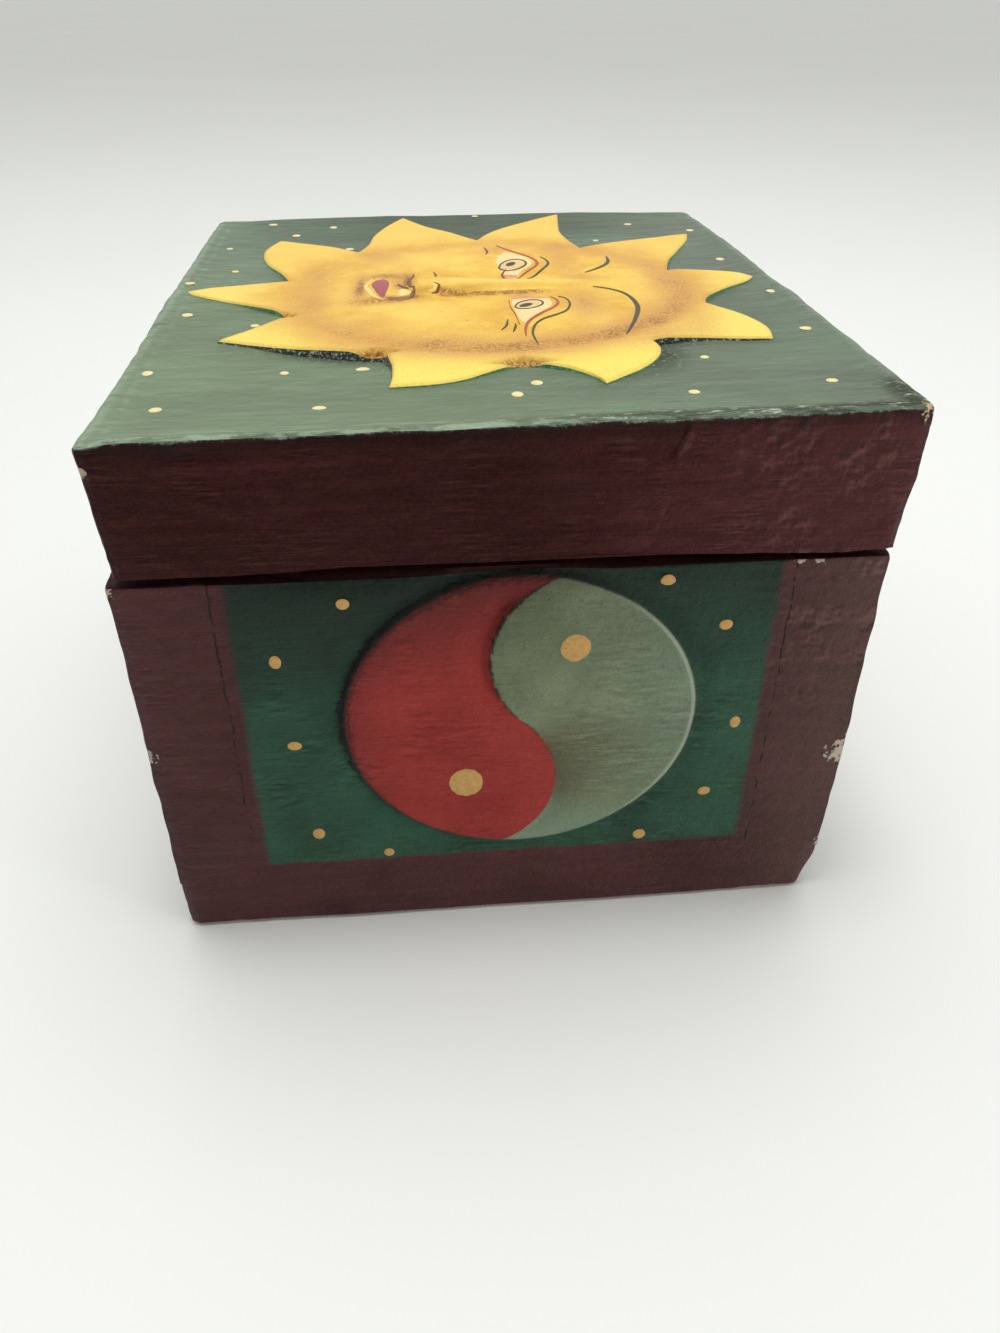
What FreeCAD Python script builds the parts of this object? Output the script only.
import FreeCAD, Part
import math
import os
import re
import Sketcher
from FreeCAD import Placement, Rotation, Vector

# A carved and painted wooden trinket box with a hinged lid, in millimetres.
# The front is at -Y, the hinges are at +Y, up is +Z, and the origin is the middle of the underside.

SIZES = {
    # the box
    "box_length": 155,
    "box_width": 125,
    "rim_height": 77,
    "side_thickness": 15,
    "end_thickness": 15,
    "bottom_thickness": 11,
    "corner_radius": 1.5,
    "foot_radius": 3.5,
    # the lid plank, wider at the top than at its underside and set a little to the back
    "lid_thickness": 22.5,
    "lid_gap": 1.1,
    "lid_inset": 0.5,
    "lid_flare": 1.3,
    "lid_shift": 0.8,
    "lid_corner_radius": 3,
    "lid_edge_radius": 2,
    # the sun on the lid
    "face_radius": 40,
    "face_rise": 1.1,
    "ray_rise": 0.3,
    "sun_shift": 2.2,
    "dish_depth": 1.6,
    "dish_margin": 3,
    "nose_length": 37,
    "nose_width": 9,
    "nose_rise": 1.2,
    "nose_offset": 2.5,
    "lips_width": 16.5,
    "lips_height": 4.4,
    "lips_rise": 0.4,
    "lips_offset": 22.3,
    # the two-part disc carved on each side
    "disc_radius": 29.5,
    "disc_height": 46.5,
    "disc_shift": 2.6,
    "carve_depth": 1.2,
    "carve_width": 5.5,
    "swirl_bow": 8.1,
    "swirl_lean": 10,
    "swirl_groove": 0.8,
    # the butt hinges, each with its middle set in from the end of the box
    "hinge_inset": 34.5,
    "hinge_standoff": 0.3,
    "knuckle_radius": 2,
    "knuckle_play": 0.2,
    "leaf_length": 25,
    "leaf_reach": 14,
    "leaf_thickness": 1.2,
    "leaf_play": 0.3,
    "mortise_clearance": 0.15,
    "pin_radius": 0.9,
    "pin_clearance": 0.05,
    # the countersunk hinge screws
    "screw_length": 9,
    "screw_radius": 0.9,
    "screw_head_radius": 1.9,
    "screw_head_height": 1.0,
    "screw_tip": 2.5,
    "screw_clearance": 0.05,
    "slot_width": 0.5,
    "slot_depth": 0.4,
    # the nails
    "nail_length": 32,
    "nail_radius": 0.8,
    "nail_tip": 2,
    "nail_head_radius": 1.6,
    "nail_head_thickness": 0.8,
    "nail_set": 0.5,
    "nail_clearance": 0.05,
    # how far a cutter runs past the face that it cuts
    "overrun": 1,
}

# Heights of the corner nails on the walls, and places of the bottom nails along them.
corner_nail_shares = (0.25, 0.75)
side_nail_shares = (-0.33, 0, 0.33)
end_nail_shares = (-0.16, 0.16)

# Places of a leaf's two screws, of the leaf's length and of its reach.
screw_spread_share = 0.32
screw_reach_share = 0.58

# The sun's rays, clockwise from the top of the face. Each row has the valley before the ray, as an
# angle and a share of the face's radius, the tip, as shares of the lid's half length and half width,
# and how far the two flanks bow outwards, as shares of their own length.
ray_shares = (
    (105, 1.05, -0.02, 0.94, 0.14, -0.06),
    (69, 1.13, 0.51, 0.79, 0.12, -0.05),
    (34, 1.18, 0.76, 0.26, 0.15, -0.15),
    (2, 1.20, 0.71, -0.29, 0.11, -0.04),
    (-28, 1.11, 0.35, -0.78, 0.04, -0.04),
    (-72, 1.06, -0.07, -0.96, -0.02, 0.04),
    (-107, 1.10, -0.66, -0.72, 0.11, 0.05),
    (-143, 1.15, -0.94, -0.23, 0.04, 0.02),
    (179, 1.15, -0.95, 0.43, 0.09, -0.05),
    (144, 1.08, -0.60, 0.89, 0.04, -0.02),
)

# Sums that several pieces share, in the sheet's names.
WALL_HEIGHT = "(rim_height - bottom_thickness)"
LID_BOTTOM = "(rim_height + lid_gap)"
LID_TOP = "(rim_height + lid_gap + lid_thickness)"
LID_HALF_WIDTH = "(box_width / 2 - lid_inset + lid_flare)"
HINGE_Y = "(box_width / 2 + max(0; lid_shift - lid_inset) + hinge_standoff + knuckle_radius)"
HINGE_Z = "(rim_height + lid_gap / 2)"
KNUCKLE_LENGTH = "(leaf_length / 3)"

ALONG_X = Rotation(Vector(0, 1, 0), 90)
ALONG_Y = Rotation(Vector(1, 0, 0), -90)
AGAINST_Y = Rotation(Vector(1, 0, 0), 90)
UPSIDE_DOWN = Rotation(Vector(1, 0, 0), 180)
STRAIGHT = Rotation()

doc = FreeCAD.newDocument("trinket_box")
sheet = doc.addObject("Spreadsheet::Sheet", "Sizes")
for row, (alias, value) in enumerate(SIZES.items(), start=1):
    sheet.set(f"A{row}", alias)
    sheet.set(f"B{row}", str(value))
    sheet.setAlias(f"B{row}", alias)
doc.recompute()

pieces = []


# Small helpers for objects that are tied to the sheet


def tied(text):
    """The expression with each size's name turned into its cell."""
    return re.sub(r"[a-z_]+", lambda word: "Sizes." + word[0] if word[0] in SIZES else word[0], text)


def size(name):
    """The present value of a cell, for shapes that are made point by point."""
    return float(sheet.get(name))


def bind(target, **expressions):
    for name, text in expressions.items():
        target.setExpression(name, tied(text))
    return target


def place(target, x="0", y="0", z="0", turn=STRAIGHT):
    target.Placement = Placement(Vector(), turn)
    for axis, text in zip("xyz", (x, y, z)):
        target.setExpression(f"Placement.Base.{axis}", tied(text))
    return target


def add(kind, name, x="0", y="0", z="0", turn=STRAIGHT, **sizes):
    """A Part primitive with its sizes and its place tied to the sheet."""
    return place(bind(doc.addObject("Part::" + kind, name), **sizes), x, y, z, turn)


def fuse(name, *shapes):
    fusion = doc.addObject("Part::MultiFuse", name)
    fusion.Shapes = list(shapes)
    return fusion


def cut(name, base, *tools):
    difference = doc.addObject("Part::Cut", name)
    difference.Base = base
    difference.Tool = tools[0] if len(tools) == 1 else fuse(name + "_tools", *tools)
    return difference


def common(name, first, second):
    overlap = doc.addObject("Part::Common", name)
    overlap.Base = first
    overlap.Tool = second
    return overlap


def copies(name, original, places):
    """Links to one object, each at its own place and turn."""
    links = []
    for number, (x, y, z, turn) in enumerate(places, start=1):
        link = doc.addObject("App::Link", f"{name}_{number}")
        link.LinkedObject = original
        links.append(place(link, x, y, z, turn))
    return links


def group(name, members):
    compound = doc.addObject("Part::Compound", name)
    compound.Links = members
    return compound


def piece(shape, label):
    shape.Label = label
    pieces.append(shape)
    return shape


# Boards: a rectangle on the ground plane, padded up, with some edges rounded


def board(name, length, width, height, taper=None):
    body = doc.addObject("PartDesign::Body", name)
    outline = body.newObject("Sketcher::SketchObject", name + "_outline")
    ground = next(plane for plane in body.Origin.OriginFeatures if plane.Role == "XY_Plane")
    outline.AttachmentSupport = [(ground, "")]
    outline.MapMode = "FlatFace"
    corners = [Vector(0, 0), Vector(1, 0), Vector(1, 1), Vector(0, 1)]
    for start, end in zip(corners, corners[1:] + corners[:1]):
        outline.addGeometry(Part.LineSegment(start, end))
    for side in range(4):
        outline.addConstraint(Sketcher.Constraint("Coincident", side, 2, (side + 1) % 4, 1))
        outline.addConstraint(Sketcher.Constraint("Vertical" if side % 2 else "Horizontal", side))
    outline.addConstraint(Sketcher.Constraint("Symmetric", 0, 1, 1, 2, -1, 1))
    for side, kind, span, text in ((0, "DistanceX", "length", length), (1, "DistanceY", "width", width)):
        number = outline.addConstraint(Sketcher.Constraint(kind, side, 1, side, 2, 1))
        outline.renameConstraint(number, span)
        outline.setExpression("Constraints." + span, tied(text))
    pad = body.newObject("PartDesign::Pad", name + "_pad")
    pad.Profile = outline
    bind(pad, Length=height)
    if taper:
        bind(pad, TaperAngle=taper)
    doc.recompute()
    return body


def round_edges(body, radius, wanted):
    base = body.Tip
    fillet = body.newObject("PartDesign::Fillet", f"{body.Name}_round_{radius}")
    fillet.Base = (base, [f"Edge{n}" for n, edge in enumerate(base.Shape.Edges, start=1) if wanted(edge)])
    bind(fillet, Radius=radius)
    doc.recompute()


def is_upright(edge):
    low, high = edge.BoundBox.ZMin, edge.BoundBox.ZMax
    return high - low > edge.BoundBox.XLength + edge.BoundBox.YLength


def is_level_at(height):
    def check(edge):
        box = edge.BoundBox
        return math.isclose(box.ZMin, height, abs_tol=1e-6) and math.isclose(box.ZMax, height, abs_tol=1e-6)
    return check


# Nails: one nail and the hole that it makes, head outwards, pointing along +Z


def make_nail():
    head = add("Cylinder", "nail_head", Radius="nail_head_radius", Height="nail_head_thickness")
    shank = add("Cylinder", "nail_shank", Radius="nail_radius", Height="nail_length - nail_tip")
    tip = add("Cone", "nail_tip", z="nail_length - nail_tip", Radius1="nail_radius", Radius2="0",
              Height="nail_tip")
    return fuse("nail", head, shank, tip)


def make_nail_hole():
    recess = add("Cylinder", "nail_recess", z="-nail_set - overrun",
                 Radius="nail_head_radius + nail_clearance",
                 Height="nail_set + overrun + nail_head_thickness")
    bore = add("Cylinder", "nail_bore", Radius="nail_radius + nail_clearance",
               Height="nail_length + nail_clearance")
    return fuse("nail_hole", recess, bore)


def corner_nail_places(side):
    """Through the front board (side -1) or the back board (side 1) into the two end boards."""
    return [(f"{end} * (box_length - end_thickness) / 2", f"{side} * (box_width / 2 - nail_set)",
             f"bottom_thickness + {share} * {WALL_HEIGHT}", ALONG_Y if side < 0 else AGAINST_Y)
            for end in (-1, 1) for share in corner_nail_shares]


def side_nail_places(side):
    """Up through the bottom board into the front board (side -1) or the back board (side 1)."""
    return [(f"{share} * box_length", f"{side} * (box_width - side_thickness) / 2", "nail_set", STRAIGHT)
            for share in side_nail_shares]


def end_nail_places(end):
    """Up through the bottom board into the left end board (end -1) or the right one (end 1)."""
    return [(f"{end} * (box_length - end_thickness) / 2", f"{share} * box_width", "nail_set", STRAIGHT)
            for share in end_nail_shares]


nail = make_nail()
nail_hole = make_nail_hole()

# Screws: one countersunk screw and the hole that it sits in, head at the ground plane, pointing along +Z


def make_screw():
    head = add("Cone", "screw_head", Radius1="screw_head_radius", Radius2="screw_radius",
               Height="screw_head_height")
    shank = add("Cylinder", "screw_shank", Radius="screw_radius", Height="screw_length - screw_tip")
    tip = add("Cone", "screw_point", z="screw_length - screw_tip", Radius1="screw_radius", Radius2="0",
              Height="screw_tip")
    slot = add("Box", "screw_slot", x="-screw_head_radius - overrun", y="-slot_width / 2", z="-overrun",
               Length="2 * (screw_head_radius + overrun)", Width="slot_width",
               Height="slot_depth + overrun")
    return cut("screw", fuse("screw_blank", head, shank, tip), slot)


def make_screw_hole():
    sink = add("Cone", "screw_sink", Radius1="screw_head_radius + screw_clearance",
               Radius2="screw_radius + screw_clearance", Height="screw_head_height + screw_clearance")
    bore = add("Cylinder", "screw_bore", Radius="screw_radius + screw_clearance",
               Height="screw_length + screw_clearance")
    return fuse("screw_hole", sink, bore)


def screw_places(hinge_x, hinge_y, hinge_z, leaf):
    """The two screws of the body leaf (leaf -1) or the lid leaf (leaf 1) of a hinge."""
    return [(f"{hinge_x} + {side * screw_spread_share} * leaf_length",
             f"{hinge_y} - {screw_reach_share} * leaf_reach",
             f"{hinge_z} + {leaf} * lid_gap / 2", UPSIDE_DOWN if leaf < 0 else STRAIGHT)
            for side in (-1, 1)]


screw = make_screw()
screw_hole = make_screw_hole()

# Hinges: the leaves lie flat on each other around the pin, which is along X


def hinge_x(side):
    return f"{side} * (box_length / 2 - hinge_inset)"


def knuckle(name, radius, start, length):
    return add("Cylinder", name, x=start, turn=ALONG_X, Radius=radius, Height=length)


def make_leaf(name, leaf, side):
    """The body leaf (leaf -1) with two knuckles, or the lid leaf (leaf 1) with the middle one."""
    low = "lid_gap / 2" if leaf > 0 else "-lid_gap / 2 - leaf_thickness"
    plate = add("Box", name + "_plate", x="-leaf_length / 2", y="-leaf_reach", z=low,
                Length="leaf_length", Width="leaf_reach", Height="leaf_thickness")
    outer = ("-leaf_length / 2", f"{KNUCKLE_LENGTH} / 2")
    clear = "knuckle_radius + leaf_play"
    if leaf < 0:
        barrels = [knuckle(f"{name}_barrel_{n}", "knuckle_radius", start, KNUCKLE_LENGTH)
                   for n, start in enumerate(outer)]
        rooms = [knuckle(name + "_room", clear, f"-{KNUCKLE_LENGTH} / 2", KNUCKLE_LENGTH)]
    else:
        barrels = [knuckle(name + "_barrel", "knuckle_radius", f"knuckle_play - {KNUCKLE_LENGTH} / 2",
                           f"{KNUCKLE_LENGTH} - 2 * knuckle_play")]
        rooms = [knuckle(f"{name}_room_{n}", clear, f"{start} - knuckle_play",
                         f"{KNUCKLE_LENGTH} + 2 * knuckle_play") for n, start in enumerate(outer)]
    bore = knuckle(name + "_bore", "pin_radius + pin_clearance", "-leaf_length / 2 - overrun",
                   "leaf_length + 2 * overrun")
    holes = copies(name + "_hole", screw_hole, screw_places("0", "0", "0", leaf))
    notched = cut(name + "_notched", plate, *rooms)
    leaf_shape = cut(name, fuse(name + "_blank", notched, *barrels), bore, *holes)
    return piece(place(leaf_shape, hinge_x(side), HINGE_Y, HINGE_Z), name)


def make_pin(name, side):
    pin = add("Cylinder", name, x=f"{hinge_x(side)} - leaf_length / 2", y=HINGE_Y, z=HINGE_Z, turn=ALONG_X,
              Radius="pin_radius", Height="leaf_length")
    return piece(pin, name)


def mortise(name, side, leaf):
    """The seat of a leaf in the rim (leaf -1) or in the lid's underside (leaf 1)."""
    low = f"{LID_BOTTOM} - lid_gap / 2" if leaf > 0 else "rim_height - leaf_thickness"
    return add("Box", name, x=f"{hinge_x(side)} - leaf_length / 2 - mortise_clearance",
               y=f"{HINGE_Y} - leaf_reach - mortise_clearance", z=low,
               Length="leaf_length + 2 * mortise_clearance",
               Width="leaf_reach + mortise_clearance + overrun",
               Height="leaf_thickness + lid_gap / 2")


def hinge_cuts(owner, leaf):
    """Mortises and screw holes of both hinges, for the back board or the lid."""
    cuts = []
    for side in (-1, 1):
        tag = f"{owner}_{'left' if side < 0 else 'right'}"
        cuts.append(mortise(tag + "_mortise", side, leaf))
        cuts += copies(tag + "_screw_hole", screw_hole, screw_places(hinge_x(side), HINGE_Y, HINGE_Z, leaf))
    return cuts


# The disc on each side: a ramp down to the disc's rim, and an S-shaped groove across the disc


def disc_carving(name, quarter_turns, x, y):
    ramp = add("Cone", name + "_ramp", z="-carve_depth", Radius1="disc_radius",
               Radius2="disc_radius + carve_width * (carve_depth + overrun) / carve_depth",
               Height="carve_depth + overrun")
    core = add("Cylinder", name + "_core", z="-carve_depth - overrun", Radius="disc_radius",
               Height="carve_depth + 3 * overrun")
    cutters = [cut(name + "_ring", ramp, core)]
    arc_radius = "((disc_radius ^ 2 / 4 + swirl_bow ^ 2) / (2 * swirl_bow))"
    half_sweep = "2 * atan(2 * swirl_bow / disc_radius)"
    along = "disc_radius / 2"
    across = f"({arc_radius} - swirl_bow)"
    for half, sign in enumerate((1, -1)):
        arc = add("Torus", f"{name}_swirl_{half}", turn=Rotation(Vector(0, 0, 1), 90),
                  x=f"{sign} * ({along} * sin(swirl_lean) + {across} * cos(swirl_lean))",
                  y=f"{sign} * ({along} * cos(swirl_lean) - {across} * sin(swirl_lean))",
                  Radius1=arc_radius, Radius2="swirl_groove", Angle3="2 * " + half_sweep)
        turned = f"{180 * (1 + half)} deg - swirl_lean * 1 deg - {half_sweep}"
        cutters.append(bind(arc, **{"Placement.Rotation.Angle": turned}))
    facing = Rotation(Vector(0, 0, 1), 90 * quarter_turns).multiply(Rotation(Vector(1, 0, 0), 90))
    return place(fuse(name, *cutters), x, y, "disc_height", facing)


# The box's five boards


def make_bottom_board():
    body = board("bottom", "box_length", "box_width", "bottom_thickness")
    round_edges(body, "corner_radius", is_upright)
    round_edges(body, "foot_radius", is_level_at(0))
    places = [spot for side in (-1, 1) for spot in side_nail_places(side) + end_nail_places(side)]
    holes = copies("bottom_nail_hole", nail_hole, places)
    piece(group("bottom_nails", copies("bottom_nail", nail, places)), "bottom_nails")
    return piece(cut("bottom_board", body, *holes), "bottom_board")


def make_side_board(name, side, extra_cuts):
    """The front board (side -1) or the back board (side 1), along the whole length."""
    body = board(name + "_blank", "box_length", "side_thickness", WALL_HEIGHT)
    round_edges(body, "corner_radius", lambda edge: is_upright(edge) and edge.CenterOfMass.y * side > 0)
    place(body, y=f"{side} * (box_width - side_thickness) / 2", z="bottom_thickness")
    carving = disc_carving(name + "_disc", 1 + side, f"{-side} * disc_shift", f"{side} * box_width / 2")
    holes = copies(name + "_nail_hole", nail_hole, corner_nail_places(side) + side_nail_places(side))
    return piece(cut(name, body, carving, *holes, *extra_cuts), name)


def make_end_board(name, end):
    """The left end board (end -1) or the right one (end 1), between the front and back boards."""
    body = board(name + "_blank", "end_thickness", "box_width - 2 * side_thickness", WALL_HEIGHT)
    place(body, x=f"{end} * (box_length - end_thickness) / 2", z="bottom_thickness")
    carving = disc_carving(name + "_disc", 2 - end, f"{end} * box_length / 2", f"{end} * disc_shift")
    spots = end_nail_places(end)
    spots += [spot for side in (-1, 1) for spot in corner_nail_places(side)]
    return piece(cut(name, body, carving, *copies(name + "_nail_hole", nail_hole, spots)), name)


# The lid: a flared plank, dished around a sun in low relief


def bowed(start, end, bow):
    """An arc that bows to the left of the way from start to end by a share of its chord."""
    chord = end - start
    middle = (start + end) / 2 + Vector(-chord.y, chord.x, 0) * bow
    return Part.Arc(start, middle, end).toShape()


def make_sun_outline():
    """The prism of the rays and the face, from the dish's floor up to the rays' flat tops."""
    face_radius = size("face_radius")
    overhang = size("lid_flare") - size("lid_inset")
    half_length = size("box_length") / 2 + overhang
    half_width = size("box_width") / 2 + overhang
    centre = Vector(0, size("sun_shift"), 0)
    valleys = []
    for angle, reach, *rest in ray_shares:
        turn = math.radians(angle)
        valleys.append(centre + Vector(math.cos(turn), math.sin(turn), 0) * face_radius * reach)
    edges = []
    for row, start, end in zip(ray_shares, valleys, valleys[1:] + valleys[:1]):
        tip = Vector(row[2] * half_length, row[3] * half_width, 0)
        edges += [bowed(start, tip, row[4]), bowed(tip, end, row[5])]
    outline = Part.Face(Part.Wire(edges))
    sun = doc.addObject("Part::Feature", "sun_rays")
    sun.Shape = outline.extrude(Vector(0, 0, size("dish_depth") + size("ray_rise")))
    return place(sun, y="lid_shift", z=f"{LID_TOP} - dish_depth")


def make_face():
    """A shallow dome on a drum, with the nose and the lips as half-sunk swellings."""
    middle = "lid_shift + sun_shift"
    crown = "(face_rise - ray_rise)"
    ball = f"((face_radius ^ 2 + {crown} ^ 2) / (2 * {crown}))"
    dome = add("Sphere", "face_dome", y=middle, z=f"{LID_TOP} + face_rise - {ball}", Radius=ball)
    drum = add("Cylinder", "face_drum", y=middle, z=f"{LID_TOP} - dish_depth", Radius="face_radius",
               Height="dish_depth + face_rise + overrun")
    nose = add("Ellipsoid", "nose", y=f"{middle} + nose_offset", z=f"{LID_TOP} + face_rise",
               Radius1="nose_rise", Radius2="nose_width / 2", Radius3="nose_length / 2")
    lips = add("Ellipsoid", "lips", y=f"{middle} - lips_offset", z=f"{LID_TOP} + face_rise - lips_rise / 2",
               Radius1="lips_rise", Radius2="lips_width / 2", Radius3="lips_height / 2")
    return [common("face", dome, drum), nose, lips]


def make_lid():
    plank = board("lid_plank", "box_length - 2 * lid_inset", "box_width - 2 * lid_inset", "lid_thickness",
                  taper="atan(lid_flare / lid_thickness)")
    round_edges(plank, "lid_corner_radius", is_upright)
    round_edges(plank, "lid_edge_radius", is_level_at(size("lid_thickness")))
    place(plank, y="lid_shift", z=LID_BOTTOM)
    rim = f"({LID_HALF_WIDTH} - dish_margin)"
    dish = add("Cone", "lid_dish", y="lid_shift", z=f"{LID_TOP} - dish_depth", Radius1="face_radius",
               Radius2=f"{rim} + ({rim} - face_radius) * overrun / dish_depth",
               Height="dish_depth + overrun")
    carved = cut("lid_carved", plank, dish, *hinge_cuts("lid", 1))
    return piece(fuse("lid_board", carved, make_sun_outline(), *make_face()), "lid_board")


make_bottom_board()
make_side_board("front_board", -1, [])
make_side_board("back_board", 1, hinge_cuts("back", -1))
make_end_board("left_end_board", -1)
make_end_board("right_end_board", 1)
wall_nails = copies("corner_nail", nail, corner_nail_places(-1) + corner_nail_places(1))
piece(group("corner_nails", wall_nails), "corner_nails")
make_lid()
body_screws = []
lid_screws = []
for word, side in (("left", -1), ("right", 1)):
    make_leaf(f"{word}_hinge_body_leaf", -1, side)
    make_leaf(f"{word}_hinge_lid_leaf", 1, side)
    make_pin(f"{word}_hinge_pin", side)
    body_screws += copies(f"{word}_body_screw", screw, screw_places(hinge_x(side), HINGE_Y, HINGE_Z, -1))
    lid_screws += copies(f"{word}_lid_screw", screw, screw_places(hinge_x(side), HINGE_Y, HINGE_Z, 1))
piece(group("body_hinge_screws", body_screws), "body_hinge_screws")
piece(group("lid_hinge_screws", lid_screws), "lid_hinge_screws")

doc.recompute()
for item in doc.Objects:
    if "Invalid" in item.State or "Error" in item.State:
        raise RuntimeError(f"{item.Label} failed: {item.State}")
for shape in pieces:
    if shape.Shape.isNull() or not shape.Shape.isValid() or not shape.Shape.Solids:
        raise RuntimeError(f"{shape.Label} has no sound solid")

os.makedirs("parts", exist_ok=True)
for shape in pieces:
    shape.Shape.exportStep(f"parts/{shape.Label}.step")
    print(f"{shape.Label}: {len(shape.Shape.Solids)} solids, {shape.Shape.Volume:.0f} mm3")
